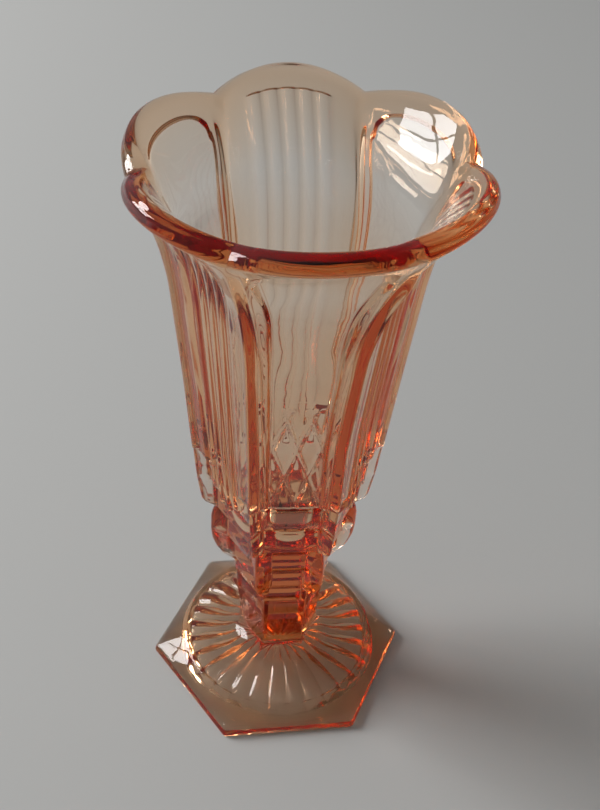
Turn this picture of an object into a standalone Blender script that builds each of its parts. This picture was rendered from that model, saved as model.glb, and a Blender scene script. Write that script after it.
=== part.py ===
"""Footed pressed-glass flower vase with a six-lobed flared rim.

The glass is shaped as three solids stacked on one axis: the hollow body, the
solid stepped stem under it, and the hexagonal foot. Blender 4.5, metres, +Z up,
origin at the bottom centre. The driving dimensions below are in millimetres.
"""

import math

import bmesh
import bpy

MM = 0.001

# Layout: six flat sides, with a rib on each corner between them.
SIDES = 6
SECTOR = 2 * math.pi / SIDES
HALF_COS = math.cos(SECTOR / 2)
HALF_SIN = math.sin(SECTOR / 2)
GAP = 0.3

# Heights of the three solids.
FOOT_TOP = 11.5
STEM_TOP = 57.85
FLARE_START = 150.0

# Wall of the hollow body. The outer face lies this far out from the working line.
OUTER_OFFSET = 1.5
WALL = 3.9
WALL_AT_LOBE = 2.6
LIP = 5.8
LIP_ROUNDING = 1.2
LIP_GROWS_FROM = 0.5
LIP_TURNS = (30.0, 60.0, 90.0)
CORNER_WALL = 1 / HALF_COS
SHARP_ANGLE = 28.0

# The plain sides are narrower than the fluted ones: (height, degrees at each corner).
NARROWING = (
    (10.0, 0.0),
    (45.0, 3.5),
    (93.0, 3.7),
    (120.0, 5.2),
    (150.0, 4.2),
    (172.0, 1.0),
    (195.0, -1.2),
)

# The hot glass turned a little about its axis as it was made: (height, degrees).
TWIST = (
    (14.0, 0.0),
    (30.0, -1.5),
    (60.0, -2.0),
    (93.0, -3.2),
    (120.0, -4.4),
    (150.0, -3.6),
    (195.0, 0.0),
)

# Working line of the wall at the middle of a side, and its turn outwards.
SIDE_RADIUS_AT_LEDGE = 22.95
SIDE_TAPER = 0.0866
SIDE_STRAIGHT = 15.0
SIDE_TURN_RADIUS = 38.0
SIDE_TIP_ANGLE = math.radians(35.0)

# Working line of the wall at a corner, and its slower turn outwards.
CORNER_RADIUS_AT_FLARE = 31.37
CORNER_TAPER = 0.1
CORNER_TURN_RADIUS = 138.3
CORNER_TIP_ANGLE = math.radians(67.5)

# Rings of the body: heights of the straight part, then shares of the way up the flare.
STRAIGHT_HEIGHTS = (120.0, FLARE_START)
OUTSIDE_SHARES = (0.15, 0.3, 0.42, 0.54, 0.65, 0.74, 0.81, 0.87, 0.92, 1.0)
INSIDE_SHARES = (1.0, 0.9, 0.8, 0.7, 0.6, 0.5, 0.4, 0.25, 0.0)

# Ribs on the corners: (height, radius of the crest), foot to body ledge.
RIB_HALF_WIDTH = 1.9
RIB_FULL_WIDTH_FROM = 9.5
RIB_PROUD = 1.5
RIB_FADES = (0.7, 0.95)
RIB_LINE = (
    (8.0, 12.0),
    (16.0, 12.6),
    (24.0, 13.4),
    (30.0, 14.2),
    (38.0, 14.6),
    (43.5, 15.2),
    (45.0, 16.6),
    (47.0, 19.2),
    (50.0, 21.2),
    (54.0, 22.6),
    (58.0, 23.1),
    (64.5, 23.1),
    (67.2, 22.6),
    (68.6, 22.0),
    (69.6, 22.6),
    (70.6, 25.2),
    (72.0, 26.0),
    (78.0, 27.0),
    (83.0, 27.7),
    (93.0, 28.6),
)

# Body ledge, and the tiers of the stem below it: (top, bottom, distance of the side).
BODY_LEDGE = 93.0
TIERS = (
    (92.4, 81.0, 21.4),
    (81.0, 69.0, 19.5),
    (69.0, 58.0, 17.5),
    (58.0, 48.0, 15.4),
    (48.0, 38.5, 13.2),
    (38.5, 30.0, 12.0),
    (30.0, 11.0, 11.4),
)
TIER_GROOVE = 1.0
TIER_BEVEL = 2.4
TIER_EDGE = 0.7
TIER_TAPER = 0.15
GROOVE_BELOW_TOP = 0.25
LEDGE_SLOPE = 0.3

# Below the ledge each fluted side runs on in a rounded apron.
APRON_DROP = 12.5
APRON_ROUNDNESS = 2.5
APRON_HEIGHTS = (82.5, 84.5, 87.0, 89.5, 91.5)

# Three fluted sides.
FLUTES = 5
FLUTE_BAND = 0.60
FLUTE_DEPTH = 0.95
FLUTE_SEGMENTS = 3

# Three plain sides with a sunk, arched field.
FIELD_BAND = 0.62
FIELD_SHOULDER = 0.80
FIELD_DEPTH = 1.2
FIELD_EDGE = 0.6
FIELD_COLUMNS = 8
FIELD_WIDENS = (0.3, 0.8)
PATTERN_ENDS = (0.87, 0.92)

# Crossed V grooves low on each sunk field.
LATTICE_BOTTOM = 97.0
LATTICE_PITCH = 6.5
LATTICE_ROW = 12.0
LATTICE_ROWS = 3
LATTICE_STARTS = (-2, -1, 0, 1, 2)
LATTICE_HALF_WIDTH = 7.0
LATTICE_SHORTEST = 0.15
LATTICE_DEPTH_DIFFERENCE = 0.03
LATTICE_GROOVE_WIDTH = 1.3
LATTICE_GROOVE_DEPTH = 0.5
LATTICE_OFFSET = 0.35

# Cavity: (height, distance from the axis to the middle of a side).
CAVITY = (
    (110.0, 21.2),
    (93.0, 18.9),
    (82.0, 17.0),
    (75.0, 15.2),
    (68.5, 13.2),
    (65.0, 11.0),
    (63.6, 8.0),
)
CAVITY_FLOOR = CAVITY[-1][0]
CAVITY_FLOOR_ROUND = 75.0
CAVITY_ROUNDING = 1.04
CAVITY_SPREAD = {"rib": 1.0, "foot": 0.86, "edge": 0.62, "field": 0.56, "flute": 0.54}

# Foot.
FOOT_CORNER = 42.4
FOOT_EDGE = 2.6
FOOT_CHAMFER = 0.5
FOOT_DISC = 31.7
FOOT_DISC_HEIGHT = 7.4
DISC_EDGE = 0.35
DOME_LINE = ((30.7, 7.75), (26.0, 8.5), (21.0, 9.6), (16.0, 11.15))
NECK_PAD = 12.6
DOME_RAY_DEPTH = 0.55
RAYS = 28
RAY_SEGMENTS = 6
RAY_DEPTH = 0.9
HOLLOW_LINE = ((29.5, 4.0), (24.0, 5.2), (17.0, 6.6), (9.0, 7.4))
HOLLOW_BOSS = 6.0
# Top edge of the hexagon: (in from its corner, height above the edge).
EDGE_LINE = ((1.5, 0.35), (0.8, 0.0))


def clear_scene():
    for obj in list(bpy.data.objects):
        bpy.data.objects.remove(obj, do_unlink=True)


def glass(name, colour, roughness):
    """A clear tinted glass material."""
    material = bpy.data.materials.new(name)
    material.use_nodes = True
    shader = material.node_tree.nodes["Principled BSDF"]
    shader.inputs["Base Color"].default_value = (*colour, 1.0)
    shader.inputs["Roughness"].default_value = roughness
    shader.inputs["Metallic"].default_value = 0.0
    shader.inputs["Transmission Weight"].default_value = 1.0
    shader.inputs["IOR"].default_value = 1.5
    return material


def finish(name, bm, material):
    """Turns the faces outwards, shades the rounds smooth and adds the object."""
    bmesh.ops.recalc_face_normals(bm, faces=bm.faces)
    mesh = bpy.data.meshes.new(name)
    bm.to_mesh(mesh)
    bm.free()
    mesh.shade_smooth()
    mesh.set_sharp_from_angle(angle=math.radians(SHARP_ANGLE))
    mesh.materials.append(material)
    obj = bpy.data.objects.new(name, mesh)
    bpy.context.scene.collection.objects.link(obj)
    return obj


def ramp(value, low, high):
    """Smooth step from 0 at low to 1 at high."""
    share = min(max((value - low) / (high - low), 0.0), 1.0)
    return share * share * (3 - 2 * share)


def between(table, height):
    """Straight-line value of a (height, value) table, in any order."""
    rows = sorted(table)
    height = max(height, rows[0][0])
    for (low, at_low), (high, at_high) in zip(rows, rows[1:]):
        if height <= high:
            return at_low + (at_high - at_low) * (height - low) / (high - low)
    return rows[-1][1]


def narrowed(side, height):
    """Angle from the middle of a side to its corners at a height."""
    lean = math.radians(between(NARROWING, height))
    return SECTOR / 2 + (lean if side % 2 == 1 else -lean)


def first_ring(bm, points):
    ring = bmesh.ops.create_circle(bm, segments=len(points), radius=1.0)["verts"]
    for vert, point in zip(ring, points):
        vert.co = [axis * MM for axis in point]
    return ring


def next_ring(bm, ring, points):
    """Extrudes the ring's edges and sets the new ring on the points."""
    edges = [bm.edges.get((a, b)) for a, b in zip(ring, ring[1:] + ring[:1])]
    made = bmesh.ops.extrude_edge_only(bm, edges=edges)["geom"]
    fresh = {item for item in made if isinstance(item, bmesh.types.BMVert)}
    grown = []
    for vert, point in zip(ring, points):
        neighbours = (edge.other_vert(vert) for edge in vert.link_edges)
        new = next(other for other in neighbours if other in fresh)
        new.co = [axis * MM for axis in point]
        grown.append(new)
    return grown


def cap(bm, ring):
    edges = [bm.edges.get((a, b)) for a, b in zip(ring, ring[1:] + ring[:1])]
    bmesh.ops.edgeloop_fill(bm, edges=edges)


def loft(rings):
    """A closed skin through the rings, with a flat cap on the first and last."""
    bm = bmesh.new()
    ring = first_ring(bm, rings[0])
    cap(bm, ring)
    for points in rings[1:]:
        ring = next_ring(bm, ring, points)
    cap(bm, ring)
    return bm


def turned(side, across, out, height):
    """A point given by its distance out from the axis and across its side."""
    angle = (side + 0.5) * SECTOR + math.radians(between(TWIST, height))
    x = out * math.cos(angle) - across * math.sin(angle)
    y = out * math.sin(angle) + across * math.cos(angle)
    return (x, y, height)


# Columns around the body. A column is (kind, place): "rib" is the corner that
# opens a side, "foot" is an edge of a rib, "flute" and "field" are in the side.


def side_columns(side):
    """The columns of one side, from its first corner up to the next one."""
    columns = [("rib", -1.0), ("foot", -1.0)]
    if side % 2 == 1:
        steps = FLUTES * FLUTE_SEGMENTS
        columns += [("flute", 2 * step / steps - 1) for step in range(steps + 1)]
    else:
        columns += [("edge", -1.0)]
        columns += [("field", 2 * step / FIELD_COLUMNS - 1) for step in range(FIELD_COLUMNS + 1)]
        columns += [("edge", 1.0)]
    return columns + [("foot", 1.0)]


def column_across(kind, place, half, share):
    """Distance of a column from the middle of its side, which is half wide to its corner."""
    if kind == "rib":
        return place * half
    if kind == "foot":
        return place * (half - RIB_HALF_WIDTH * min(half / RIB_FULL_WIDTH_FROM, 1.0))
    if kind == "flute":
        return place * FLUTE_BAND * half
    band = FIELD_BAND + (FIELD_SHOULDER - FIELD_BAND) * ramp(share, *FIELD_WIDENS)
    if kind == "field":
        return place * band * half
    return place * (band * half + FIELD_EDGE)


def column_depth(kind, place, share):
    """How far the pattern sinks a column below the plain surface."""
    fade = 1 - ramp(share, *PATTERN_ENDS)
    if kind == "field":
        return FIELD_DEPTH * fade
    if kind == "flute":
        phase = (place + 1) / 2 * FLUTES % 1.0
        hollow = 4 * phase * (1 - phase)
        return FLUTE_DEPTH * hollow * fade
    return 0.0


def turn_out(start_out, start_height, taper, radius, tip_angle, share):
    """Point and outward normal on a wall line that curves out from its taper."""
    start_angle = math.atan(1 / taper)
    angle = start_angle + (tip_angle - start_angle) * share
    out = start_out + radius * (math.sin(start_angle) - math.sin(angle))
    height = start_height + radius * (math.cos(angle) - math.cos(start_angle))
    return out, height, math.sin(angle), -math.cos(angle)


def side_line(share):
    """Working line of the wall at the middle of a side; share runs 0 to 1 up the flare."""
    start_angle = math.atan(1 / SIDE_TAPER)
    curve = SIDE_TURN_RADIUS * (start_angle - SIDE_TIP_ANGLE)
    run = share * (SIDE_STRAIGHT + curve)
    height = FLARE_START + min(run, SIDE_STRAIGHT)
    out = SIDE_RADIUS_AT_LEDGE + SIDE_TAPER * (height - BODY_LEDGE)
    curved = max(run - SIDE_STRAIGHT, 0.0) / curve
    return turn_out(out, height, SIDE_TAPER, SIDE_TURN_RADIUS, SIDE_TIP_ANGLE, curved)


def corner_line(share):
    return turn_out(
        CORNER_RADIUS_AT_FLARE,
        FLARE_START,
        CORNER_TAPER,
        CORNER_TURN_RADIUS,
        CORNER_TIP_ANGLE,
        share,
    )


def bulge(across, half, rise):
    """Height of a circular arc over its chord, as a share of its rise."""
    if abs(rise) < 0.01:
        return 1 - (across / half) ** 2
    radius = (half * half + rise * rise) / (2 * rise)
    under = max(radius * radius - across * across, 0.0)
    return (math.copysign(math.sqrt(under), radius) - (radius - rise)) / rise


def wall_point(side, kind, place, lines, offset, share, outer):
    """A point of the wall, offset from its working line along its normal."""
    (s_out, s_high, s_no, s_nh), (c_out, c_high, c_no, c_nh) = lines
    turn = narrowed(side, s_high)
    half = c_out * math.sin(turn)
    across = column_across(kind, place, half, share)
    if outer:
        offset -= column_depth(kind, place, share)
    corner_offset = offset * CORNER_WALL
    if kind == "rib" and outer:
        corner_offset += RIB_PROUD * (1 - ramp(share, *RIB_FADES))
    corner_out = c_out + c_no * corner_offset
    corner_high = c_high + c_nh * corner_offset
    if kind == "rib":
        corner_turn = narrowed(side, corner_high)
        along = place * corner_out * math.sin(corner_turn)
        return turned(side, along, corner_out * math.cos(corner_turn), corner_high)
    side_out = s_out + s_no * offset + c_out * (math.cos(turn) - HALF_COS)
    side_high = s_high + s_nh * offset
    chord = corner_out * math.cos(turn)
    blend = bulge(across, half, side_out - chord)
    out = chord + (side_out - chord) * blend
    high = corner_high + (side_high - corner_high) * blend
    widen = corner_out / c_out
    return turned(side, across * widen, out, high)


def wall_ring(share, offset, outer):
    lines = (side_line(share), corner_line(share))
    return [
        wall_point(side, kind, place, lines, offset, share, outer)
        for side in range(SIDES)
        for kind, place in side_columns(side)
    ]


def straight_lines(height):
    """Both working lines at a height between the ledge and the flare."""
    below = height - FLARE_START
    side = (
        SIDE_RADIUS_AT_LEDGE + SIDE_TAPER * (height - BODY_LEDGE),
        height,
        1.0,
        0.0,
    )
    return side, (CORNER_RADIUS_AT_FLARE + CORNER_TAPER * below, height, 1.0, 0.0)


def straight_ring(height):
    """A ring of the straight part's outer face."""
    return [
        wall_point(side, kind, place, straight_lines(height), OUTER_OFFSET, 0.0, True)
        for side in range(SIDES)
        for kind, place in side_columns(side)
    ]


def tier_line():
    """Side of the stem: under each ledge a groove, a bevel that faces up and a flat face."""
    line = []
    for top, bottom, out in TIERS:
        line += [
            (top - GROOVE_BELOW_TOP, out - TIER_GROOVE),
            (top - TIER_BEVEL, out),
            (bottom + TIER_EDGE, out - TIER_TAPER),
        ]
    return tuple(line)


def in_apron(kind, place, height):
    """Whether a fluted side still has its body face at a place below the ledge."""
    return kind == "flute" and height > BODY_LEDGE - APRON_DROP * (1 - abs(place) ** APRON_ROUNDNESS)


def step_ring(height, columns_of):
    """A ring of the stepped part: flat sides, with the ribs running on down."""
    crest = between(RIB_LINE, height)
    corner = between(tier_line(), height) / HALF_COS
    points = []
    for side in range(SIDES):
        turn = narrowed(side, height)
        for kind, place in columns_of(side):
            if in_apron(kind, place, height):
                lines = straight_lines(height)
                points.append(wall_point(side, kind, place, lines, OUTER_OFFSET, 0.0, True))
                continue
            out = max(crest, corner) if kind == "rib" else corner
            across = column_across(kind, place, out * math.sin(turn), 0.0)
            points.append(turned(side, across, out * math.cos(turn), height))
    return points


def cavity_ring(height, side_out):
    """A ring of the cavity, a rounded hexagon that turns round at the floor."""
    roundness = 1 - ramp(height, CAVITY_FLOOR, CAVITY_FLOOR_ROUND)
    corner = side_out / HALF_COS
    points = []
    for side in range(SIDES):
        turn = narrowed(side, height)
        for kind, place in side_columns(side):
            across = place * CAVITY_SPREAD[kind] * corner * math.sin(turn)
            distance = corner * math.cos(turn)
            angle = math.atan2(across, distance)
            flat = distance / math.cos(angle)
            rounded = side_out * CAVITY_ROUNDING
            out = flat + (rounded - flat) * roundness
            points.append(turned(side, out * math.sin(angle), out * math.cos(angle), height))
    return points


def lip_growth(share):
    return min(max((share - LIP_GROWS_FROM) / (1 - LIP_GROWS_FROM), 0.0), 1.0)


def outer_offset(share):
    """From the wall's working line out to its outer face."""
    return OUTER_OFFSET + (LIP / 2 - OUTER_OFFSET) * lip_growth(share)


def inner_offset(share):
    """The wall thins towards the lobes and swells again into the lip."""
    thinned = WALL + (WALL_AT_LOBE - WALL) * ramp(share, 0.0, LIP_GROWS_FROM)
    return outer_offset(share) - thinned - (LIP - WALL_AT_LOBE) * lip_growth(share)


def step_heights(bottom, top):
    """Heights at which the tiers or the ribs turn, between two heights."""
    heights = {height for height, _ in tier_line() + RIB_LINE} | set(APRON_HEIGHTS)
    inside = sorted(height for height in heights if bottom + LEDGE_SLOPE < height < top - LEDGE_SLOPE)
    return [bottom, *inside, top]


def body_rings():
    """From the flat underside up the outside, over the lip and down the cavity."""
    heights = step_heights(STEM_TOP + GAP, BODY_LEDGE - LEDGE_SLOPE)
    rings = [step_ring(height, side_columns) for height in heights]
    rings += [straight_ring(height) for height in (BODY_LEDGE + LEDGE_SLOPE, *STRAIGHT_HEIGHTS)]
    rings += [wall_ring(share, outer_offset(share), True) for share in OUTSIDE_SHARES]
    rings += lip_rings()
    rings += [wall_ring(share, inner_offset(share), False) for share in INSIDE_SHARES]
    rings += [cavity_ring(height, side_out) for height, side_out in CAVITY]
    return rings


def lip_outline():
    """Across the lip: (how far past the end of the wall, distance from its working line)."""
    centre = LIP / 2 - LIP_ROUNDING
    line = []
    for degrees in LIP_TURNS:
        turn = math.radians(degrees)
        line.append((LIP_ROUNDING * math.sin(turn), centre + LIP_ROUNDING * math.cos(turn)))
    return line + [(reach, -offset) for reach, offset in reversed(line)]


def lip_rings():
    """The lip: a flat edge as thick as the wall there, with rounded corners."""
    (s_out, s_high, s_no, s_nh) = side_line(1.0)
    (c_out, c_high, c_no, c_nh) = corner_line(1.0)
    rings = []
    for reach, offset in lip_outline():
        side = (s_out - s_nh * reach, s_high + s_no * reach, s_no, s_nh)
        corner = (c_out - c_nh * reach, c_high + c_no * reach, c_no, c_nh)
        rings.append([
            wall_point(number, kind, place, (side, corner), offset, 1.0, False)
            for number in range(SIDES)
            for kind, place in side_columns(number)
        ])
    return rings


def lattice_cutter(lean):
    """One set of parallel V grooves for a sunk field, before it is turned to its side."""
    bm = bmesh.new()
    slope = LATTICE_PITCH / 2 / LATTICE_ROW
    length = LATTICE_ROWS * LATTICE_ROW
    field_bottom = SIDE_RADIUS_AT_LEDGE + OUTER_OFFSET - FIELD_DEPTH
    for start in LATTICE_STARTS:
        foot = start * LATTICE_PITCH
        shares = clipped(foot, foot + lean * slope * length, LATTICE_HALF_WIDTH)
        if shares is None:
            continue
        ends = []
        for share in shares:
            height = LATTICE_BOTTOM + LATTICE_OFFSET * lean + length * share
            across = foot + lean * slope * length * share
            face = field_bottom + SIDE_TAPER * (height - BODY_LEDGE) + moved_out(height)
            ends.append((across, face, height))
        groove(bm, LATTICE_GROOVE_DEPTH - LATTICE_DEPTH_DIFFERENCE * lean, *ends)
    return bm


def moved_out(height):
    """How far a plain side lies outside the even hexagon, being narrower."""
    corner = straight_lines(height)[1][0]
    return corner * (math.cos(narrowed(0, height)) - HALF_COS)


def clipped(start, end, half):
    """Shares of a line from start to end that keep within half of the middle."""
    shares = sorted(((-half - start) / (end - start), (half - start) / (end - start)))
    low = max(shares[0], 0.0)
    high = min(shares[1], 1.0)
    return (low, high) if high - low > LATTICE_SHORTEST else None


def groove(bm, deep, start, end):
    """A three-sided prism from start to end, its edge pointing into the glass."""
    wide = LATTICE_GROOVE_WIDTH
    ends = []
    for across, face, height in (start, end):
        corners = (
            (across, face - deep, height),
            (across - wide, face + deep, height),
            (across + wide, face + deep, height),
        )
        ends.append([bm.verts.new(turned_mm(0, a, f, h)) for a, f, h in corners])
    low, high = ends
    bm.faces.new(low)
    bm.faces.new(high[::-1])
    for number in range(3):
        after = (number + 1) % 3
        bm.faces.new((low[number], high[number], high[after], low[after]))


def turned_mm(side, across, out, height):
    return [axis * MM for axis in turned(side, across, out, height)]


def stem_columns(side):
    return [("rib", -1.0), ("foot", -1.0), ("foot", 1.0)]


def make_body():
    material = glass("peach_glass_body", (0.83, 0.58, 0.42), 0.03)
    body = finish("vase_body", loft(body_rings()), material)
    for side in (0, 2, 4):
        for lean in (-1, 1):
            cut_grooves(body, side, lean)
    return body


def cut_grooves(body, side, lean):
    bm = lattice_cutter(lean)
    bmesh.ops.recalc_face_normals(bm, faces=bm.faces)
    mesh = bpy.data.meshes.new("lattice_cutter")
    bm.to_mesh(mesh)
    bm.free()
    cutter = bpy.data.objects.new(f"lattice_cutter_{side}_{lean}", mesh)
    bpy.context.scene.collection.objects.link(cutter)
    cutter.rotation_euler.z = side * SECTOR
    cutter.hide_render = True
    cutter.display_type = "WIRE"
    cut = body.modifiers.new(f"lattice_{side}_{lean}", "BOOLEAN")
    cut.operation = "DIFFERENCE"
    cut.object = cutter


def make_stem():
    material = glass("peach_glass_stem", (0.72, 0.36, 0.17), 0.03)
    rings = [step_ring(height, stem_columns) for height in step_heights(FOOT_TOP + GAP, STEM_TOP)]
    return finish("stepped_stem", loft(rings), material)


def foot_ring(outline, height):
    """A ring of the foot; outline gives (distance, rise) for a column number."""
    count = RAYS * RAY_SEGMENTS
    points = []
    for number in range(count):
        angle = 2 * math.pi * number / count
        out, rise = outline(number)
        points.append((out * math.cos(angle), out * math.sin(angle), height + rise))
    return points


def hexagon(corner):
    def outline(number):
        angle = 2 * math.pi * number / (RAYS * RAY_SEGMENTS)
        from_middle = angle % SECTOR - SECTOR / 2
        return corner * HALF_COS / math.cos(from_middle), 0.0

    return outline


def circle(radius):
    return lambda number: (radius, 0.0)


def rayed(radius, depth):
    """Crests at full height, with a crease of this depth between each two."""

    def outline(number):
        phase = number % RAY_SEGMENTS / RAY_SEGMENTS
        return radius, depth * (4 * phase * (1 - phase) - 1)

    return outline


def make_foot():
    material = glass("peach_glass_foot", (0.78, 0.47, 0.28), 0.03)
    rings = [foot_ring(circle(NECK_PAD), FOOT_TOP)]
    rings += [
        foot_ring(rayed(radius, DOME_RAY_DEPTH), height) for radius, height in reversed(DOME_LINE)
    ]
    rings += [
        foot_ring(circle(FOOT_DISC - DISC_EDGE), FOOT_DISC_HEIGHT + DISC_EDGE / 2),
        foot_ring(circle(FOOT_DISC), FOOT_DISC_HEIGHT),
        *(foot_ring(hexagon(FOOT_CORNER - inset), FOOT_EDGE + rise) for inset, rise in EDGE_LINE),
        foot_ring(hexagon(FOOT_CORNER), FOOT_CHAMFER),
        foot_ring(hexagon(FOOT_CORNER - FOOT_CHAMFER), 0.0),
        foot_ring(circle(FOOT_DISC), 0.0),
    ]
    rings += [foot_ring(rayed(radius, RAY_DEPTH), height) for radius, height in HOLLOW_LINE]
    rings.append(foot_ring(circle(HOLLOW_BOSS), HOLLOW_LINE[-1][1]))
    return finish("hexagonal_foot", loft(rings), material)


def main():
    clear_scene()
    make_foot()
    make_stem()
    make_body()


main()
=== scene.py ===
"""Looks of the footed pressed-glass vase: one continuous moulding of peach-tinted glass.

The body, stem and foot of the real vase are one piece of glass, so one closed skin
stands for all three solids of the frame. Lengths are in millimetres up to the point
where the skin is placed, and in metres after that.
"""

import math

import bpy
import numpy as np
from mathutils import Matrix, Vector


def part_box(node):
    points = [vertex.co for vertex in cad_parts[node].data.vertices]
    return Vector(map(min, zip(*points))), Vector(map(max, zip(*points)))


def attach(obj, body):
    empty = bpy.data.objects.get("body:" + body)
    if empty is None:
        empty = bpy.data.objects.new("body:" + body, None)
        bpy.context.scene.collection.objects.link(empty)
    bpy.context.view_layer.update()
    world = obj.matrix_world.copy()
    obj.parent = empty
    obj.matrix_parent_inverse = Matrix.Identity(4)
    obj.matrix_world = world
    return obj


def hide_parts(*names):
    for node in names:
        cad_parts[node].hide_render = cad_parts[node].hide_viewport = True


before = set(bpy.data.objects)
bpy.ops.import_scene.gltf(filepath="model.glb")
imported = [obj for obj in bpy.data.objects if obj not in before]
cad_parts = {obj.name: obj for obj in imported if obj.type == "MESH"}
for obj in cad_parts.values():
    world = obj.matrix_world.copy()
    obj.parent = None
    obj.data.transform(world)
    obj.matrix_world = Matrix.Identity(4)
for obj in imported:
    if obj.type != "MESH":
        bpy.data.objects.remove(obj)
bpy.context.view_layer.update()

MM = 0.001

# ---------------------------------------------------------------------------
# Driving sizes, in millimetres
# ---------------------------------------------------------------------------

SIDES = 6
SECTOR = 2 * math.pi / SIDES
HALF_COS = math.cos(SECTOR / 2)
HALF_SIN = math.sin(SECTOR / 2)

FOOT_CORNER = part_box("hexagonal_foot")[1][0] / MM

FLARE_START = 150.0
BODY_LEDGE = 93.0
OUTER_OFFSET = 1.5
WALL = 3.9
WALL_AT_LOBE = 2.1
LIP = 5.8
LIP_GROWS_FROM = 0.5
LIP_ROUNDING = 1.9
LIP_CROWN = 0.3
LIP_TURNS = (0, 18, 36, 54, 72, 90)
LIP_FLAT = (0.75, 0.4, 0.0, -0.4, -0.75)

SIDE_RADIUS_AT_LEDGE = 22.95
SIDE_TAPER = 0.0866
SIDE_STRAIGHT = 15.0
SIDE_TURN_RADIUS = 38.0
SIDE_TIP_ANGLE = math.radians(35.0)
CORNER_RADIUS_AT_FLARE = 31.37
CORNER_TAPER = 0.1
CORNER_TURN_RADIUS = 138.3
CORNER_TIP_ANGLE = math.radians(67.5)

# The plain sides are narrower than the fluted ones: (height, degrees at each corner).
# Up the flare this turns back, and a little past nothing.
NARROWING = ((10.0, 0.0), (45.0, 3.5), (93.0, 3.7), (120.0, 5.2), (150.0, 4.2))
NARROWING_TURNS_BACK = 1.3
# The hot glass turned a little as it was made: (height, degrees about the axis).
TWIST = ((14.0, 0.0), (30.0, -1.5), (60.0, -2.0), (93.0, -3.2), (120.0, -4.4), (150.0, -3.6))

# Ribs on the corners, and the line of their crests: (height, radius).
RIB_REACH = 2.05
RIB_PROUD = 1.5
RIB_FULLNESS = 0.6
RIB_FADES = (0.7, 0.95)
RIB_FULL_WIDTH_FROM = 9.5
RIB_WIDENS = 0.9
RIB_BLOCK = ((43.0, 52.0), (67.0, 70.0))
RIB_LINE = (
    (8.0, 12.0),
    (16.0, 12.6),
    (24.0, 13.4),
    (30.0, 14.2),
    (38.0, 14.6),
    (43.5, 15.2),
    (45.0, 16.6),
    (47.0, 19.2),
    (50.0, 21.2),
    (54.0, 22.6),
    (58.0, 23.1),
    (64.5, 23.1),
    (67.2, 22.6),
    (68.6, 22.0),
    (69.6, 22.6),
    (70.6, 25.2),
    (72.0, 26.0),
    (78.0, 27.0),
    (83.0, 27.7),
    (93.0, 28.6),
)

# Each tier of the stem: top, bottom, distance out of its flat side.
TIERS = (
    (92.4, 81.0, 21.4),
    (81.0, 69.0, 19.5),
    (69.0, 58.0, 17.5),
    (58.0, 48.0, 15.4),
    (48.0, 38.5, 13.2),
    (38.5, 30.0, 12.0),
    (30.0, 16.0, 11.4),
)
TIER_GROOVE = 1.0
TIER_BEVEL = 2.4
TIER_EDGE = 0.7
TIER_TAPER = 0.15
GROOVE_BELOW_TOP = 0.25
EDGE_ROUNDING = 0.3

# The ledge at the top of the tiers: (height above it, share of the way out to the body).
LEDGE_LINE = (
    (-0.55, 0.0),
    (-0.3, 0.03),
    (-0.12, 0.18),
    (0.0, 0.5),
    (0.12, 0.82),
    (0.3, 0.97),
    (0.55, 1.0),
)
LEDGE_HALF = 0.6
APRON_DROP = 12.5
APRON_ROUNDNESS = 2.5
APRON_BLEND = 0.5

# Three fluted sides.
FLUTES = 5
FLUTE_BAND = 0.60
FLUTE_DEPTH = 0.95
FLUTES_END = (0.904, 0.917)

# Three plain sides, each with a sunk field that widens upwards and ends in an arch.
FIELD_BAND = 0.62
FIELD_SHOULDER = 0.80
FIELD_WIDENS = (0.3, 0.8)
FIELD_DEPTH = 1.2
FIELD_DEEPENS_BY = 0.5
FIELD_DEEPENS = (0.5, 0.85)
FIELD_STEP = 0.7
FIELD_ENDS = (0.88, 0.92)
ARCH_FROM = 0.74
ARCH_RISE = 0.17
ARCH_EDGE = (0.94, 1.02)

# Crossed V grooves low on each sunk field.
LATTICE_LOW = 95.0
LATTICE_HIGH = 134.0
LATTICE_STARTS = (-3.0, -1.0)
LATTICE_STOPS = (-0.5, 0.8)
LATTICE_PITCH = 6.5
LATTICE_ROW = 12.0
LATTICE_DEPTH = 0.35
LATTICE_WIDTH = 0.42

# Rings of the body: their spacing over the lattice, then heights, then shares of the way
# up the flare, outside and inside.
LATTICE_RINGS = 0.95
PLAIN_HEIGHTS = (138.0, 141.0, 144.5, 148.0)
PATTERN_END_SHARES = (0.896, 0.9, 0.904, 0.909, 0.914, 0.919, 0.924, 0.935, 0.95, 0.97, 0.985)
INSIDE_SHARES = (
    *(0.97, 0.93, 0.88, 0.83, 0.78, 0.73, 0.68, 0.62),
    *(0.56, 0.5, 0.43, 0.36, 0.28, 0.2, 0.1, 0.0),
)

# Cavity: (height, distance from the axis to the middle of a side).
CAVITY = (
    (150.0, 25.5),
    (110.0, 21.2),
    (93.0, 18.9),
    (82.0, 17.0),
    (75.0, 15.6),
    (69.5, 13.9),
    (66.5, 12.4),
    (64.8, 10.6),
    (63.9, 8.6),
    (63.6, 6.2),
    (63.6, 3.0),
)
CAVITY_HEIGHTS = (
    *(144.0, 136.0, 127.0, 118.0, 110.0, 104.0, 98.0, 93.0),
    *(88.0, 84.0, 80.0, 77.0, 74.5, 72.0, 70.0),
)
CAVITY_ROUNDS = (66.0, 84.0)
CAVITY_ROUNDING = 1.05
INNER_CORNER_DEPTH = 0.9
INNER_CORNER_REACH = 5.0
INNER_CORNER_FADES = (0.4, 0.95)

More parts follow.
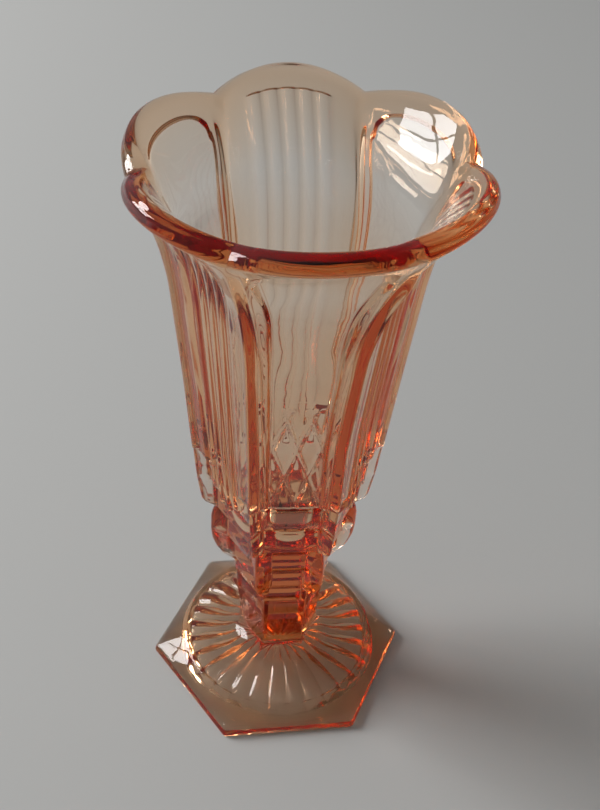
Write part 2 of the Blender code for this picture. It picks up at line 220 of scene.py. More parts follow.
# Foot: a hexagonal flange, a rayed disc on it that rises in a dome, and a rayed hollow under it.
FOOT_DISC = 31.7
FOOT_EDGE_TOP = 2.6
FLANGE_TOP = 7.4
DISC_EDGE = 0.35
DOME_RISE = 3.4
DOME_RAY_DEPTH = 0.7
DOME_RAY_STARTS = (-0.1, 0.12)
DOME_RAY_ENDS = (0.85, 1.05)
DOME_STEPS = 12
RAYS = 28
RAY_SHARPNESS = 0.9
RAY_DEPTH = 0.9
# The rays deepen outwards, and have their full depth at this distance from the axis.
RAY_FULL_AT = 18.0
HOLLOW_RISE = 8.5
HOLLOW_EDGE = 5.0
BOSS = 6.0
HOLLOW_RADII = (4.0, 5.5, 7.0, 9.0, 12.0, 15.0, 18.0, 21.0, 24.0, 27.0)
# The hollow's outer wall: (distance out, share of the rays' height there).
HOLLOW_WALL = ((29.0, 1.0), (29.8, 0.92), (30.4, 0.7), (30.9, 0.35), (31.3, 0.08))
BASE_EDGE = 0.6
FOOT_ROUNDING = 1.6
FLANGE_INSET = 1.4
FLANGE_LIFT = 0.35
FLANGE_SHARES = (0.15, 0.3, 0.45, 0.6, 0.75, 0.9)
# The disc's edge: (distance past its radius, share of its height).
DISC_LINE = ((0.15, 0.0), (-0.1, 0.3), (-0.3, 0.75), (-0.6, 0.95))

# The neck: where the dome has become six-sided, and its rounding into the dome.
NECK_RADIUS = 12.6
NECK_FLARE = 3.4
NECK_RISE = 3.6
NECK_STEPS = 10
NECK_HEIGHTS = (15.0, 18.5, 22.0, 26.0)
CLOSEST_RINGS = 0.25

# Glass: the tint that light keeps along its way, and how strongly, per metre.
TINT = (0.945, 0.54, 0.10, 1.0)
TINT_DENSITY = 112.0
GLASS_IOR = 1.5
GLASS_BOUNCES = 40
GLOSSY_BOUNCES = 16
WAVE_SCALE = 65.0
WAVE_STRENGTH = 0.18

# Studio: a dim room that brightens towards the softbox, and a softbox of four panes.
FLOOR_SIZE = 8.0
FLOOR_BELOW = 0.6
FLOOR_COLOUR = (0.57, 0.57, 0.556, 1.0)
ROOM_COLOUR = (0.98, 0.99, 1.0, 1.0)
ROOM_DARK = 0.09
ROOM_BRIGHT = 0.42
GLOW_AZIMUTH = 150.0
GLOW_ELEVATION = 15.0
GLOW_FROM = -0.3
BOX_AZIMUTH = 158.0
BOX_ELEVATION = 27.0
BOX_DISTANCE = 1.7
BOX_AIM_HEIGHT = 0.1
PANE_WIDTH = 0.42
PANE_HEIGHT = 0.42
PANE_GAP = 0.05
PANE_POWER = 7.2

# Camera: its place in metres, and its angles.
CAMERA_PLACE = (-0.04148, -0.25792, 0.34620)
CAMERA_ELEVATION = math.radians(41.90)
CAMERA_AZIMUTH = math.radians(9.65)
CAMERA_ROLL = math.radians(4.07)
CAMERA_LENS = 53.95
SENSOR_WIDTH = 36.0


def ramp(value, low, high):
    """Smooth step from 0 at low to 1 at high, for a number or an array."""
    share = np.clip((value - low) / (high - low), 0.0, 1.0)
    return share * share * (3 - 2 * share)


def between(table, height):
    """Straight-line value of a (height, value) table, in any order."""
    rows = sorted(table)
    return float(np.interp(height, [row[0] for row in rows], [row[1] for row in rows]))


def smooth_line(table, height):
    """Value of a table at a height, eased through its points."""
    near = [between(table, height + shift) for shift in (-3.0, -1.5, 0.0, 1.5, 3.0)]
    return float(np.dot(near, (0.1, 0.2, 0.4, 0.2, 0.1)))


def crisp_line(table, height):
    """Value of a table at a height, with its corners rounded only a little."""
    near = [between(table, height + shift) for shift in (-EDGE_ROUNDING, 0.0, EDGE_ROUNDING)]
    return float(np.dot(near, (0.25, 0.5, 0.25)))


def narrowing(height, share=0.0):
    """How far each corner lies towards its plain side, as an angle."""
    back = 1 - NARROWING_TURNS_BACK * float(ramp(share, 0.0, 1.0))
    return math.radians(smooth_line(NARROWING, height)) * back


def twist(height, share=0.0):
    """Turn of the glass about the axis, which dies out up the flare."""
    return math.radians(smooth_line(TWIST, height)) * (1 - float(ramp(share, 0.0, 1.0)))


# ---------------------------------------------------------------------------
# Columns: the lines that run up the skin, side by side round the vase
# ---------------------------------------------------------------------------

RIB_COLUMNS = (0.4, 0.8, 1.2, 1.55, 1.8, 2.05)
BAND_COLUMNS = 5
FLUTE_COLUMNS = 6
FIELD_COLUMNS = 32
EDGE_COLUMNS = (0.0, 0.25, 0.5, 0.75, 1.0)


def half_side(fluted):
    """Columns from the middle of a side to its corner: (half-side, mm, band, edge) rows.

    A column's distance from the middle is half-side x share + mm + band x share,
    plus its share of the field's edge.
    """
    rows = []
    if fluted:
        count = FLUTES * FLUTE_COLUMNS // 2
        rows += [(0.0, 0.0, step / count, 0.0) for step in range(count + 1)]
    else:
        count = FIELD_COLUMNS // 2
        rows += [(0.0, 0.0, step / count, 0.0) for step in range(count + 1)]
        rows += [(0.0, 0.0, 1.0, share) for share in EDGE_COLUMNS[1:]]
    last_edge = rows[-1][3]
    for step in range(1, BAND_COLUMNS):
        share = step / BAND_COLUMNS
        rows.append((share, -RIB_REACH * share, 1 - share, last_edge * (1 - share)))
    rows += [(1.0, -reach, 0.0, 0.0) for reach in reversed(RIB_COLUMNS)]
    return rows


def lay_out_columns():
    """Arrays over all columns: side number, the four shares, and signed place."""
    side, share, mm, band, edge, sign = [], [], [], [], [], []
    for number in range(SIDES):
        half = half_side(number % 2 == 1)
        left = [(row, -1.0) for row in reversed(half[1:])]
        right = [(row, 1.0) for row in half]
        corner = [((1.0, 0.0, 0.0, 0.0), -1.0)]
        for row, turn in corner + left + right:
            side.append(number)
            share.append(row[0])
            mm.append(row[1])
            band.append(row[2])
            edge.append(row[3])
            sign.append(turn)
    return [np.array(values, float) for values in (side, share, mm, band, edge, sign)]


SIDE, SHARE, EXTRA, BAND, EDGE, SIGN = lay_out_columns()
COUNT = len(SIDE)
FLUTED = SIDE % 2 == 1
PLAIN = ~FLUTED
MIDDLE_ANGLE = (SIDE + 0.5) * SECTOR


def across(half, band_share=0.0):
    """Distance of each column from the middle of its side."""
    field = FIELD_BAND + (FIELD_SHOULDER - FIELD_BAND) * band_share
    band = np.where(FLUTED, FLUTE_BAND, field) * half
    scale = np.minimum(half / RIB_FULL_WIDTH_FROM, 1.0)
    return SIGN * (half * SHARE + EXTRA * scale + BAND * band + EDGE * FIELD_STEP * scale)


def half_angles(height, share=0.0):
    """Angle from the middle of each column's side to its corner."""
    lean = narrowing(height, share)
    return SECTOR / 2 + np.where(FLUTED, lean, -lean)


def turned(out, along, height, turn=0.0):
    """Points from distances out from the axis and along each column's side."""
    middle = MIDDLE_ANGLE + turn
    x = out * np.cos(middle) - along * np.sin(middle)
    y = out * np.sin(middle) + along * np.cos(middle)
    return np.stack([x, y, np.broadcast_to(height, x.shape)], axis=1)


# ---------------------------------------------------------------------------
# Rings: the outline of the skin at each height, from under the foot to the cavity
# ---------------------------------------------------------------------------


def rib_relief(from_corner, proud, reach, fullness):
    """Height of a rib across its width: full and steep-sided, or soft."""
    share = np.clip(from_corner / reach, 0.0, 1.0)
    soft = 0.5 * (1 + np.cos(math.pi * share))
    full = (1 - share**2) ** 0.8
    return proud * (soft * (1 - fullness) + full * fullness)


def with_rib(out, along, half, proud, reach, fullness, angle):
    """Moves the columns near a corner outwards along the corner's own direction."""
    raised = rib_relief(half - np.abs(along), proud, reach, fullness)
    return out + raised * np.cos(angle), along + SIGN * raised * np.sin(angle)


def even_angles():
    """Angle of each column when they are spread evenly round their side."""
    angles = np.zeros(COUNT)
    for number in range(SIDES):
        members = np.flatnonzero(SIDE == number)
        angles[members] = (number + np.arange(len(members)) / len(members)) * SECTOR
    return angles


EVEN = even_angles()
CORNERED = MIDDLE_ANGLE + np.arctan2(across(21.0), 21.0 / math.tan(SECTOR / 2))


def polar(radius, angle, height):
    radius = np.broadcast_to(radius, angle.shape)
    height = np.broadcast_to(height, angle.shape)
    return np.stack([radius * np.cos(angle), radius * np.sin(angle), height], axis=1)


def hexagon_radius(corner, angle):
    """Distance out to a hexagon with slightly rounded corners."""
    from_middle = angle % SECTOR - SECTOR / 2
    flat = corner * HALF_COS / np.cos(from_middle)
    from_corner = SECTOR / 2 - np.abs(from_middle)
    centre = corner - FOOT_ROUNDING / HALF_COS
    under = np.maximum(FOOT_ROUNDING**2 - (centre * np.sin(from_corner)) ** 2, 0.0)
    rounded = centre * np.cos(from_corner) + np.sqrt(under)
    turn = math.atan2(FOOT_ROUNDING * HALF_SIN, centre + FOOT_ROUNDING * HALF_COS)
    return np.where(from_corner < turn, np.minimum(rounded, flat), flat)


def cusps():
    """0 on the crest of each ray and 1 in the crease between two."""
    phase = (EVEN / (2 * math.pi) * RAYS) % 1.0
    return 1 - np.sin(math.pi * phase) ** RAY_SHARPNESS


def ray_height(radius):
    """Height of the rayed underside, hollowed in a dome round a boss."""
    dome = HOLLOW_EDGE + (HOLLOW_RISE - HOLLOW_EDGE) * (1 - (radius / FOOT_DISC) ** 2)
    fade = float(ramp(radius, BOSS - 1.0, BOSS + 4.0))
    return dome - RAY_DEPTH * radius / RAY_FULL_AT * cusps() * fade


def underside_rings():
    """From the middle of the hollow out to the foot's edge."""
    rings = [polar(0.0, EVEN, HOLLOW_RISE)]
    for radius in HOLLOW_RADII:
        rings.append(polar(radius, EVEN, ray_height(radius)))
    for radius, share in HOLLOW_WALL:
        rings.append(polar(radius, EVEN, ray_height(radius) * share))
    rings.append(polar(FOOT_DISC, EVEN, 0.0))
    for share in (0.35, 0.7):
        angle = EVEN * (1 - share) + CORNERED * share
        radius = FOOT_DISC * (1 - share) + hexagon_radius(FOOT_CORNER - BASE_EDGE, angle) * share
        rings.append(polar(radius, angle, 0.0))
    return rings


def foot_side_rings():
    """Round the foot's hexagonal edge: (corner radius, height)."""
    line = (
        (FOOT_CORNER - BASE_EDGE, 0.0),
        (FOOT_CORNER - 0.2, 0.12),
        (FOOT_CORNER, 0.5),
        (FOOT_CORNER - 0.1, 1.0),
        (FOOT_CORNER - 0.5, FOOT_EDGE_TOP - 0.4),
        (FOOT_CORNER - 0.8, FOOT_EDGE_TOP),
        (FOOT_CORNER - FLANGE_INSET, FOOT_EDGE_TOP + FLANGE_LIFT),
    )
    return [polar(hexagon_radius(corner, CORNERED), CORNERED, height) for corner, height in line]


def foot_top_rings():
    """From the foot's edge up the sloping flange, over the disc's edge and up the rayed dome."""
    rings = []
    inner = FOOT_CORNER - FLANGE_INSET
    low = FOOT_EDGE_TOP + FLANGE_LIFT
    for share in FLANGE_SHARES:
        radius = hexagon_radius(inner, CORNERED) * (1 - share) + FOOT_DISC * share
        height = low + (FLANGE_TOP - low) * share
        rings.append(polar(radius, CORNERED, height))
    for shift, share in DISC_LINE:
        angle = CORNERED * (1 - share) + EVEN * share
        rings.append(polar(FOOT_DISC + shift, angle, FLANGE_TOP + DISC_EDGE * share))
    reach = FOOT_DISC - 1.0 - NECK_RADIUS - NECK_FLARE
    for step in range(DOME_STEPS):
        share = step / (DOME_STEPS - 1)
        radius = FOOT_DISC - 1.0 - reach * share
        kept = float(ramp(share, *DOME_RAY_STARTS) * (1 - ramp(share, *DOME_RAY_ENDS)))
        crease = DOME_RAY_DEPTH * radius / RAY_FULL_AT * cusps() * kept
        dome = FLANGE_TOP + DISC_EDGE + DOME_RISE * (1 - (1 - share) ** 2)
        rings.append(polar(radius, EVEN, dome - crease))
    rings += neck_blend_rings()
    return rings


def neck_blend_rings():
    """The round dome turns into the six-sided neck."""
    rings = []
    low = FLANGE_TOP + DISC_EDGE + DOME_RISE
    for step in range(1, NECK_STEPS + 1):
        share = step / NECK_STEPS
        turn = share * math.pi / 2
        grow = 1 - math.sin(turn)
        height = low + 0.5 * share + NECK_RISE * (1 - math.cos(turn))
        hexagon = step_points(height)
        bearing = np.unwrap(np.arctan2(hexagon[:, 1], hexagon[:, 0]))
        whole_turns = round((bearing[0] - EVEN[0]) / (2 * math.pi))
        bearing = bearing * share + (EVEN + whole_turns * 2 * math.pi) * (1 - share)
        circle = polar(NECK_RADIUS + NECK_FLARE * grow, bearing, height)
        mix = ramp(share, 0.25, 1.0)
        flared = hexagon * (1 + 0.25 * grow, 1 + 0.25 * grow, 1)
        rings.append(circle * (1 - mix) + flared * mix)
    return rings


def tier_line():
    """Side of the stem: under each ledge a groove, a bevel that faces up and a flat face."""
    line = []
    for top, bottom, out in TIERS:
        line += [
            (top - GROOVE_BELOW_TOP, out - TIER_GROOVE),
            (top - TIER_BEVEL, out),
            (bottom + TIER_EDGE, out - TIER_TAPER),
        ]
    return tuple(sorted(line))


TIER_LINE = tier_line()


def rib_block(height):
    """1 where the ribs stand out in a broad block half way up the stem."""
    rises, falls = RIB_BLOCK
    return float(ramp(height, *rises) * (1 - ramp(height, *falls)))


def step_points(height):
    """A ring of the stem: flat sides with the ribs running down between them."""
    crest = crisp_line(RIB_LINE, height)
    plain_corner = crisp_line(TIER_LINE, height) / HALF_COS
    angle = half_angles(height)
    half = plain_corner * np.sin(angle)
    along = across(half)
    narrow = np.minimum(half / RIB_FULL_WIDTH_FROM, 1.0)
    reach = RIB_REACH * narrow * (1 + RIB_WIDENS * rib_block(height))
    proud = max(crest - plain_corner, 0.0)
    side_out = plain_corner * np.cos(angle)
    out, along = with_rib(side_out, along, half, proud, reach, RIB_FULLNESS, angle)
    return turned(out, along, height, twist(height))


def stem_rings():
    """Up the neck and the tiers, close together wherever the outline turns."""
    heights = [*NECK_HEIGHTS] + [row[0] for row in RIB_LINE if 43.0 < row[0] < 73.0]
    for turn, _ in TIER_LINE:
        heights += [turn - EDGE_ROUNDING, turn, turn + EDGE_ROUNDING]
    for top, bottom, _ in TIERS[:-1]:
        heights += [bottom * 0.6 + top * 0.4]
    low, high = NECK_HEIGHTS[0] - 0.1, BODY_LEDGE - 0.7
    heights = sorted(height for height in heights if low < height < high)
    kept = [heights[0]]
    for height in heights[1:]:
        if height - kept[-1] > CLOSEST_RINGS:
            kept.append(height)
    return [with_apron(step_points(height), height) for height in kept]


def with_apron(ring, height):
    """The fluted sides run on below the ledge in a rounded apron."""
    if height < BODY_LEDGE - APRON_DROP - 1.0:
        return ring
    panel = wall_ring(straight_lines(height), OUTER_OFFSET, 0.0, True)
    place = np.clip(np.abs(BAND), 0.0, 1.0)
    low = BODY_LEDGE - APRON_DROP * (1 - place**APRON_ROUNDNESS)
    inside = FLUTED & (SHARE == 0.0)
    cover = np.where(inside, ramp(height, low - APRON_BLEND, low + APRON_BLEND), 0.0)[:, None]
    return ring * (1 - cover) + panel * cover


def lattice(along, height):
    """Depth of the crossed V grooves low on the plain sides."""
    slope = LATTICE_PITCH / 2 / LATTICE_ROW
    squeeze = 1 / math.hypot(1.0, slope)
    depth = np.zeros(COUNT)
    for lean in (-1, 1):
        place = along - lean * slope * (height - LATTICE_LOW)
        nearest = np.abs((place + LATTICE_PITCH / 2) % LATTICE_PITCH - LATTICE_PITCH / 2)
        depth = np.maximum(depth, np.exp(-((nearest * squeeze / LATTICE_WIDTH) ** 2)))
    starts = ramp(height, *(LATTICE_LOW + shift for shift in LATTICE_STARTS))
    stops = ramp(height, *(LATTICE_HIGH + shift for shift in LATTICE_STOPS))
    inside = PLAIN & (BAND != 1.0) & (SHARE == 0.0)
    return LATTICE_DEPTH * depth * starts * (1 - stops) * inside


def pattern_depth(share, height, along):
    """How far the fluting and the sunk fields lie below the plain surface."""
    fade = 1 - ramp(share, *FIELD_ENDS)
    inside = SHARE == 0.0
    phase = (SIGN * BAND + 1) / 2 * FLUTES
    phase = phase - np.floor(np.minimum(phase, FLUTES - 1e-9))
    hollow = np.where(FLUTED & inside, 4 * phase * (1 - phase), 0.0)
    flute_depth = FLUTE_DEPTH * hollow * (1 - ramp(share, *FLUTES_END))
    up = np.clip((share - ARCH_FROM) / ARCH_RISE, 0.0, 1.0)
    round_off = (np.abs(BAND) ** 5 + up**3) ** 0.25
    arch = 1 - ramp(round_off, *ARCH_EDGE) if share > ARCH_FROM else 1.0
    deep = FIELD_DEPTH * (1 + FIELD_DEEPENS_BY * ramp(share, *FIELD_DEEPENS))
    field = np.where(PLAIN & inside, deep * (1 - ramp(EDGE, 0.0, 1.0)) * arch * fade, 0.0)
    if share <= 0.0:
        field = field + lattice(along, height)
    return flute_depth + field


def turn_out(start_out, start_height, taper, radius, tip_angle, share):
    """Point and outward normal on a wall line that curves out from its taper."""
    start_angle = math.atan(1 / taper)
    angle = start_angle + (tip_angle - start_angle) * share
    out = start_out + radius * (math.sin(start_angle) - math.sin(angle))
    height = start_height + radius * (math.cos(angle) - math.cos(start_angle))
    return out, height, math.sin(angle), -math.cos(angle)


def side_line(share):
    """Working line at the middle of a side; share runs 0 to 1 up the flare."""
    start_angle = math.atan(1 / SIDE_TAPER)
    curve = SIDE_TURN_RADIUS * (start_angle - SIDE_TIP_ANGLE)
    run = share * (SIDE_STRAIGHT + curve)
    height = FLARE_START + min(run, SIDE_STRAIGHT)
    out = SIDE_RADIUS_AT_LEDGE + SIDE_TAPER * (height - BODY_LEDGE)
    curved = max(run - SIDE_STRAIGHT, 0.0) / curve
    return turn_out(out, height, SIDE_TAPER, SIDE_TURN_RADIUS, SIDE_TIP_ANGLE, curved)


def corner_line(share):
    """Working line at a corner, which turns outwards more slowly."""
    start = (CORNER_RADIUS_AT_FLARE, FLARE_START, CORNER_TAPER)
    return turn_out(*start, CORNER_TURN_RADIUS, CORNER_TIP_ANGLE, share)


def straight_lines(height):
    """Both working lines at a height below the flare."""
    side = (SIDE_RADIUS_AT_LEDGE + SIDE_TAPER * (height - BODY_LEDGE), height, 1.0, 0.0)
    corner = (CORNER_RADIUS_AT_FLARE + CORNER_TAPER * (height - FLARE_START), height, 1.0, 0.0)
    return side, corner


def arc_share(along, half, rise):
    """Height of a circular arc over its chord, as a share of its rise."""
    rise = np.where(np.abs(rise) < 0.02, 0.02, rise)
    radius = (half * half + rise * rise) / (2 * rise)
    under = np.maximum(radius * radius - along * along, 0.0)
    return (np.sign(radius) * np.sqrt(under) - (radius - rise)) / rise


def wall_ring(lines, offset, share, outer):
    """A ring of the body's wall, offset from its working lines along their normals."""
    (s_out, s_high, s_no, s_nh), (c_out, c_high, c_no, c_nh) = lines
    angle = half_angles(s_high, share)
    half = c_out * np.sin(angle)
    along = across(half, float(ramp(share, *FIELD_WIDENS)))
    along = np.clip(along, -half, half)
    offset = np.full(COUNT, offset)
    if outer:
        offset = offset - pattern_depth(share, s_high, along)
    corner_offset = offset / HALF_COS
    corner_out = c_out + c_no * corner_offset
    corner_high = c_high + c_nh * corner_offset
    side_out = s_out + s_no * offset + c_out * (np.cos(angle) - HALF_COS)
    side_high = s_high + s_nh * offset
    chord = corner_out * np.cos(angle)
    blend = arc_share(along, half, side_out - chord)
    out = chord + (side_out - chord) * blend
    height = corner_high + (side_high - corner_high) * blend
    along = along * corner_out / c_out
    edge = corner_out * np.sin(angle)
    if outer:
        proud = RIB_PROUD * (1 - float(ramp(share, *RIB_FADES)))
        out, along = with_rib(out, along, edge, proud, RIB_REACH, RIB_FULLNESS, angle)
    else:
        soften = INNER_CORNER_DEPTH * (1 - float(ramp(share, *INNER_CORNER_FADES)))
        out, along = with_rib(out, along, edge, -soften, INNER_CORNER_REACH, 0.0, angle)
    return turned(out, along, height, twist(s_high, share))


def lip_growth(share):
    return float(np.clip((share - LIP_GROWS_FROM) / (1 - LIP_GROWS_FROM), 0.0, 1.0))


def outer_offset(share):
    """From the wall's working line out to its outer face."""
    return OUTER_OFFSET + (LIP / 2 - OUTER_OFFSET) * lip_growth(share)


def wall_thickness(share):
    """The wall thins towards the lobes and swells again into the lip."""
    thinned = WALL + (WALL_AT_LOBE - WALL) * float(ramp(share, 0.0, LIP_GROWS_FROM))
    return thinned + (LIP - WALL_AT_LOBE) * lip_growth(share)


def ledge_rings():
    """The ledge under the body, where the patterned sides begin."""
    rings = []
    low = with_apron(step_points(BODY_LEDGE - LEDGE_HALF), BODY_LEDGE - LEDGE_HALF)
    high = wall_ring(straight_lines(BODY_LEDGE + LEDGE_HALF), OUTER_OFFSET, 0.0, True)
    for shift, share in LEDGE_LINE:
        ring = low + (high - low) * share
        ring[:, 2] = BODY_LEDGE + shift
        rings.append(ring)
    return rings


def body_outside_rings():
    """Up the outside of the body, closest together where the pattern ends."""
    rings = []
    for height in (*np.arange(BODY_LEDGE + 1.1, LATTICE_HIGH + 2.0, LATTICE_RINGS), *PLAIN_HEIGHTS):
        rings.append(wall_ring(straight_lines(height), OUTER_OFFSET, 0.0, True))
    for share in (*np.linspace(0.0, 0.72, 16), *np.linspace(0.735, 0.89, 14), *PATTERN_END_SHARES):
        lines = (side_line(share), corner_line(share))
        rings.append(wall_ring(lines, outer_offset(share), share, True))
    return rings


def lip_outline():
    """Across the lip: (how far past the end of the wall, distance from its working line)."""
    centre = LIP / 2 - LIP_ROUNDING
    line = []
    for degrees in LIP_TURNS:
        turn = math.radians(degrees)
        line.append((LIP_ROUNDING * math.sin(turn), centre + LIP_ROUNDING * math.cos(turn)))
    rounding = list(line)
    for place in LIP_FLAT:
        line.append((LIP_ROUNDING + LIP_CROWN * (1 - place * place), centre * place))
    return line + [(reach, -offset) for reach, offset in reversed(rounding)]


def lip_rings():
    """The lip: a nearly flat edge as thick as the wall there, with rounded corners."""
    rings = []
    s_out, s_high, s_no, s_nh = side_line(1.0)
    c_out, c_high, c_no, c_nh = corner_line(1.0)
    for reach, offset in lip_outline():
        side = (s_out - s_nh * reach, s_high + s_no * reach, s_no, s_nh)
        corner = (c_out - c_nh * reach, c_high + c_no * reach, c_no, c_nh)
        rings.append(wall_ring((side, corner), offset, 1.0, False))
    return rings


def body_inside_rings():
    """From the lip down the inside of the flare, and on down the cavity."""
    rings = []
    for share in INSIDE_SHARES:
        inner = outer_offset(share) - wall_thickness(share)
        rings.append(wall_ring((side_line(share), corner_line(share)), inner, share, False))
    return rings + cavity_rings()


def cavity_rings():
    """Down the cavity, from a soft hexagon to a round floor."""
    rings = []
    lines = [(height, smooth_line(CAVITY, height)) for height in CAVITY_HEIGHTS]
    lines += [row for row in CAVITY if row[0] < CAVITY_HEIGHTS[-1]]
    for height, side_out in lines:
        angle = half_angles(height)
        corner = side_out / HALF_COS
        half = corner * np.sin(angle)
        along = across(half)
        depth, reach = -INNER_CORNER_DEPTH, INNER_CORNER_REACH
        out, along = with_rib(corner * np.cos(angle), along, half, depth, reach, 0.0, angle)
        flat = turned(out, along, height, twist(height))
        bearing = np.arctan2(flat[:, 1], flat[:, 0])
        circle = polar(side_out * CAVITY_ROUNDING, bearing, height)
        round_share = 1 - float(ramp(height, *CAVITY_ROUNDS))
        rings.append(flat * (1 - round_share) + circle * round_share)
    rings.append(polar(0.0, EVEN, CAVITY[-1][0]))
    return rings


def skin_rings():
    """All rings of the skin, in order from under the foot to the floor of the cavity."""
    rings = underside_rings() + foot_side_rings() + foot_top_rings() + stem_rings()
    rings += ledge_rings() + body_outside_rings() + lip_rings() + body_inside_rings()
    return rings


# ---------------------------------------------------------------------------
# Building the skin
# ---------------------------------------------------------------------------


def deselect():
    for obj in bpy.context.selected_objects:
        obj.select_set(False)


def roll_up_skin(name, rings):
    """A flat sheet of cells is rolled round the axis, and its seam and poles are closed."""
    deselect()
    rows = len(rings)
    bpy.ops.mesh.primitive_grid_add(x_subdivisions=COUNT, y_subdivisions=rows - 1, size=1.0)
    skin = bpy.context.object
    skin.name = name
    skin.data.name = name
    mesh = skin.data
    flat = np.empty(len(mesh.vertices) * 3, np.float32)
    mesh.vertices.foreach_get("co", flat)
    flat = flat.reshape(-1, 3)
    column = np.rint((flat[:, 0] + 0.5) * COUNT).astype(int) % COUNT
    row = np.rint((flat[:, 1] + 0.5) * (rows - 1)).astype(int)
    table = np.stack(rings)
    mesh.vertices.foreach_set("co", (table[row, column] * MM).astype(np.float32).ravel())
    mesh.update()
    bpy.ops.object.mode_set(mode="EDIT")
    bpy.ops.mesh.select_all(action="SELECT")
    bpy.ops.mesh.remove_doubles(threshold=1e-7)
    bpy.ops.mesh.normals_make_consistent(inside=False)
    bpy.ops.object.mode_set(mode="OBJECT")
    bpy.ops.object.shade_smooth()
    return skin


# ---------------------------------------------------------------------------
# Glass
# ---------------------------------------------------------------------------


def peach_glass():
    """Tinted pressed glass: the colour comes from the depth of glass."""
    material = bpy.data.materials.new("peach_glass")
    material.use_nodes = True
    nodes = material.node_tree.nodes
    links = material.node_tree.links
    shader = nodes["Principled BSDF"]
    shader.inputs["Base Color"].default_value = (1.0, 1.0, 1.0, 1.0)
    shader.inputs["Transmission Weight"].default_value = 1.0
    shader.inputs["IOR"].default_value = GLASS_IOR
    shader.inputs["Roughness"].default_value = 0.0
    tint = nodes.new("ShaderNodeVolumeAbsorption")
    tint.inputs["Color"].default_value = TINT
    tint.inputs["Density"].default_value = TINT_DENSITY
    links.new(tint.outputs["Volume"], nodes["Material Output"].inputs["Volume"])
    place = nodes.new("ShaderNodeTexCoord")
    waves = nodes.new("ShaderNodeTexNoise")
    waves.inputs["Scale"].default_value = WAVE_SCALE
    waves.inputs["Detail"].default_value = 2.0
    links.new(place.outputs["Object"], waves.inputs["Vector"])
    bump = nodes.new("ShaderNodeBump")
    bump.inputs["Strength"].default_value = WAVE_STRENGTH
    bump.inputs["Distance"].default_value = MM
    links.new(waves.outputs["Fac"], bump.inputs["Height"])
    links.new(bump.outputs["Normal"], shader.inputs["Normal"])
    return material


# ---------------------------------------------------------------------------
# Studio
# ---------------------------------------------------------------------------


def make_floor():
    """A pale matt floor, a hair below the foot so that their faces don't coincide."""
    deselect()
    bpy.ops.mesh.primitive_plane_add(size=FLOOR_SIZE, location=(0.0, 0.0, -FLOOR_BELOW * MM))
    floor = bpy.context.object
    floor.name = "floor"
    material = bpy.data.materials.new("pale_floor")
    material.use_nodes = True
    shader = material.node_tree.nodes["Principled BSDF"]
    shader.inputs["Base Color"].default_value = FLOOR_COLOUR
    shader.inputs["Roughness"].default_value = 0.9
    shader.inputs["Specular IOR Level"].default_value = 0.1
    floor.data.materials.append(material)


def make_light():
    """A large paned softbox behind and to the left, and a dim room that brightens towards it."""
    world = bpy.data.worlds.new("studio")
    world.use_nodes = True
    nodes = world.node_tree.nodes
    links = world.node_tree.links
    back = nodes["Background"]
    back.inputs["Color"].default_value = ROOM_COLOUR
    place = nodes.new("ShaderNodeTexCoord")
    towards = nodes.new("ShaderNodeVectorMath")
    towards.operation = "DOT_PRODUCT"
    towards.inputs[1].default_value = direction(GLOW_AZIMUTH, GLOW_ELEVATION)
    links.new(place.outputs["Generated"], towards.inputs[0])
    glow = nodes.new("ShaderNodeMapRange")
    glow.inputs["From Min"].default_value = GLOW_FROM
    glow.inputs["From Max"].default_value = 1.0
    glow.inputs["To Min"].default_value = ROOM_DARK
    glow.inputs["To Max"].default_value = ROOM_BRIGHT
    links.new(towards.outputs["Value"], glow.inputs["Value"])
    links.new(glow.outputs["Result"], back.inputs["Strength"])
    bpy.context.scene.world = world
    for column in (-0.5, 0.5):
        for row in (-0.5, 0.5):
            pane(column, row)


def direction(azimuth, elevation):
    """Unit vector towards an azimuth and elevation in degrees."""
    turn, lift = math.radians(azimuth), math.radians(elevation)
    return Vector((math.cos(turn) * math.cos(lift), math.sin(turn) * math.cos(lift), math.sin(lift)))


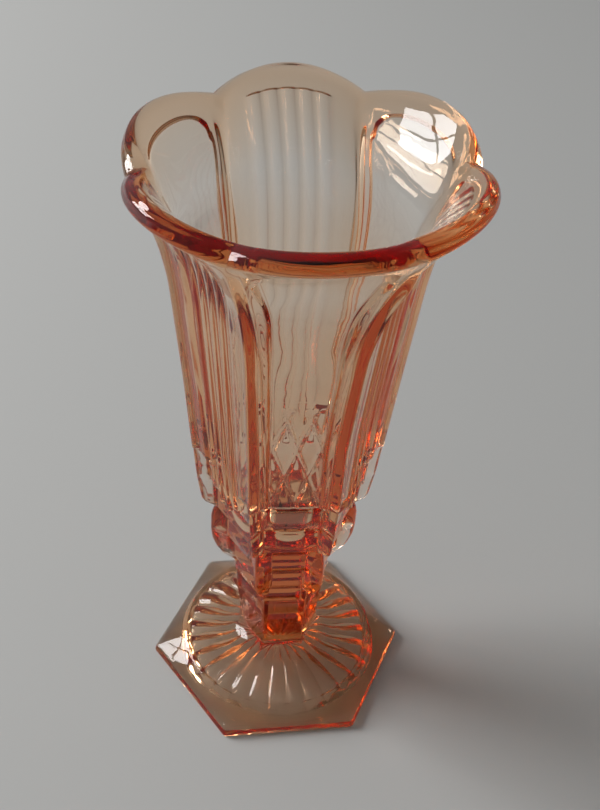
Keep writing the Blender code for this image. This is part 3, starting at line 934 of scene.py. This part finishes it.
def pane(column, row):
    """One pane of the softbox, turned to face the vase."""
    data = bpy.data.lights.new("softbox_pane", "AREA")
    data.shape = "RECTANGLE"
    data.size = PANE_WIDTH
    data.size_y = PANE_HEIGHT
    data.energy = PANE_POWER
    light = bpy.data.objects.new("softbox_pane", data)
    bpy.context.scene.collection.objects.link(light)
    outward = direction(BOX_AZIMUTH, BOX_ELEVATION)
    turn = outward.to_track_quat("Z", "Y")
    across_box = Vector((column * (PANE_WIDTH + PANE_GAP), row * (PANE_HEIGHT + PANE_GAP), 0.0))
    aim = Vector((0.0, 0.0, BOX_AIM_HEIGHT))
    light.location = outward * BOX_DISTANCE + aim + turn @ across_box
    light.rotation_euler = turn.to_euler()


def make_camera():
    """Looks down at the vase from the front left, about 42 degrees above it."""
    forward = Vector((
        math.sin(CAMERA_AZIMUTH) * math.cos(CAMERA_ELEVATION),
        math.cos(CAMERA_AZIMUTH) * math.cos(CAMERA_ELEVATION),
        -math.sin(CAMERA_ELEVATION),
    ))
    level = Vector((math.cos(CAMERA_AZIMUTH), -math.sin(CAMERA_AZIMUTH), 0.0))
    upright = level.cross(forward)
    right = level * math.cos(CAMERA_ROLL) + upright * math.sin(CAMERA_ROLL)
    up = upright * math.cos(CAMERA_ROLL) - level * math.sin(CAMERA_ROLL)
    data = bpy.data.cameras.new("camera")
    data.sensor_width = SENSOR_WIDTH
    data.lens = CAMERA_LENS
    data.clip_start = 0.01
    camera = bpy.data.objects.new("camera", data)
    bpy.context.scene.collection.objects.link(camera)
    turn = Matrix((right, up, -forward)).transposed()
    camera.matrix_world = Matrix.Translation(CAMERA_PLACE) @ turn.to_4x4()
    bpy.context.scene.camera = camera


bpy.context.scene.view_settings.view_transform = "Standard"
bpy.context.scene.cycles.max_bounces = GLASS_BOUNCES
bpy.context.scene.cycles.transmission_bounces = GLASS_BOUNCES
bpy.context.scene.cycles.glossy_bounces = GLOSSY_BOUNCES
make_camera()
vase = roll_up_skin("pressed_glass_vase", skin_rings())
vase.data.materials.append(peach_glass())
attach(vase, "root")
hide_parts("vase_body", "stepped_stem", "hexagonal_foot")
make_floor()
make_light()
